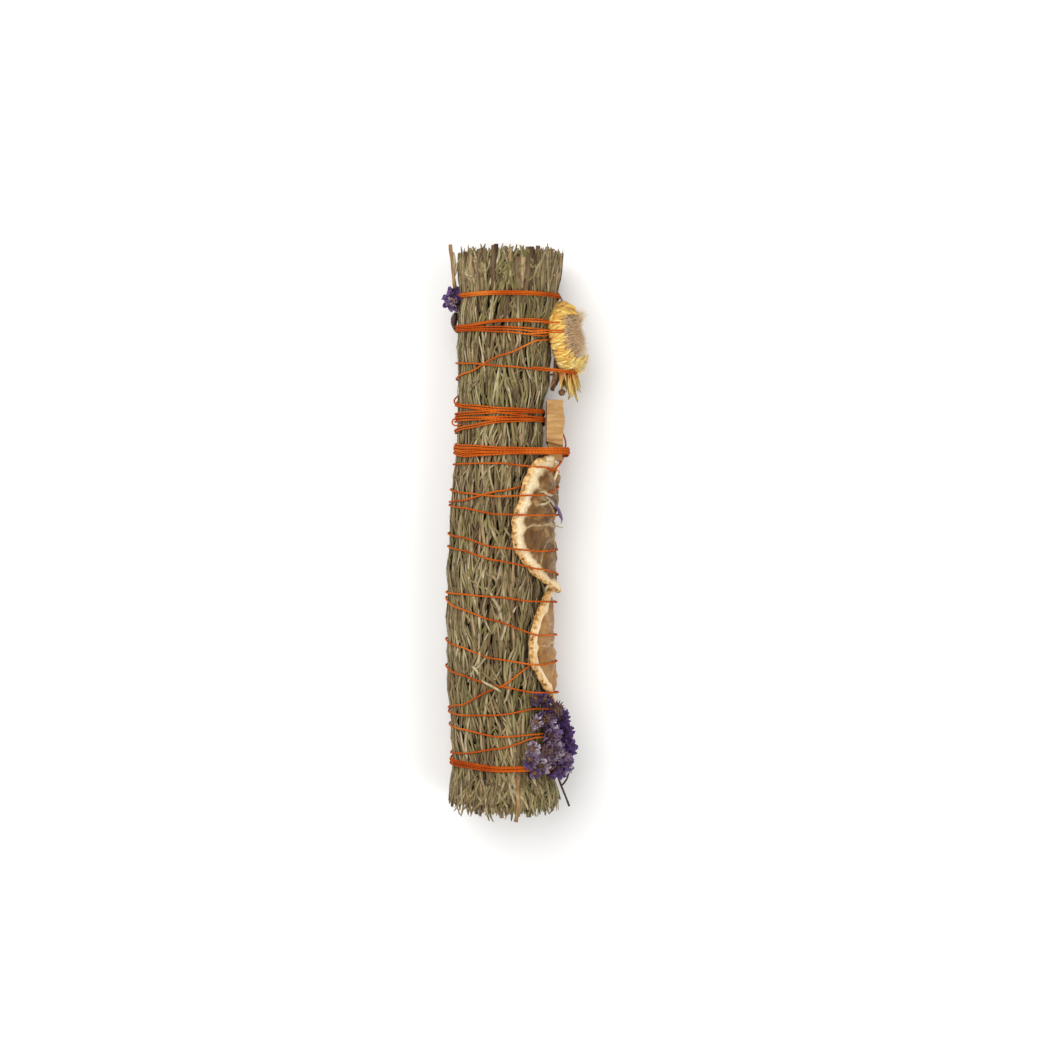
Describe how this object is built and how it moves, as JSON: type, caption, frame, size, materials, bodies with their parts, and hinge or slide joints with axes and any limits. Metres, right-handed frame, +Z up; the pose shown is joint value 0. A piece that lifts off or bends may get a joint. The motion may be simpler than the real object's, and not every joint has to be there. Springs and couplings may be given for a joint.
{
  "type": "herb smudge stick",
  "caption": "Dried rosemary bundle bound with orange thread, with citrus slices, a strawflower, statice and a wood block tied along one side.",
  "frame": {"origin": "under the middle of the whole stick, on the surface that it lies on", "axes": "+Y along the stick towards its cut stem end at the top of the picture, +X towards the trimmed side, +Z up from the surface"},
  "size_m": [0.0582, 0.2286, 0.044],
  "materials": {
    "rosemary": "dry, matt, brown-green needles with pale undersides",
    "stems": "bare dried woody stems",
    "thread": "twisted cotton thread, slightly glossy",
    "citrus": "dried fruit: cream pith, orange-brown rind and flesh",
    "wood": "raw split wood with fine grain",
    "bracts": "papery yellow bracts with orange bases",
    "flower_centre": "soft beige fluff",
    "calyx": "dry brown stem and calyx",
    "statice": "crumpled papery purple and lilac florets",
    "straw": "straw-coloured dry stalk",
    "dark_leaf": "dark brown curled dry leaf"
  },
  "bodies": {
    "root": {"rosemary_sprig_1": "rosemary", "rosemary_sprig_2": "rosemary", "rosemary_sprig_3": "rosemary", "rosemary_sprig_4": "rosemary", "rosemary_sprig_5": "rosemary", "rosemary_sprig_6": "rosemary", "rosemary_sprig_7": "rosemary", "rosemary_sprig_8": "rosemary", "rosemary_sprig_9": "rosemary", "rosemary_sprig_10": "rosemary", "rosemary_sprig_11": "rosemary", "rosemary_sprig_12": "rosemary", "heart_stems": "stems", "orange_thread": "thread", "citrus_slice_upper": "citrus", "citrus_slice_lower": "citrus", "wood_block": "wood", "strawflower_bracts": "bracts", "strawflower_centre": "flower_centre", "strawflower_stem": "calyx", "statice_spray": "statice", "side_floret_stalk": "straw", "side_floret": "statice", "dark_leaf": "dark_leaf"}
  },
  "joints": []
}
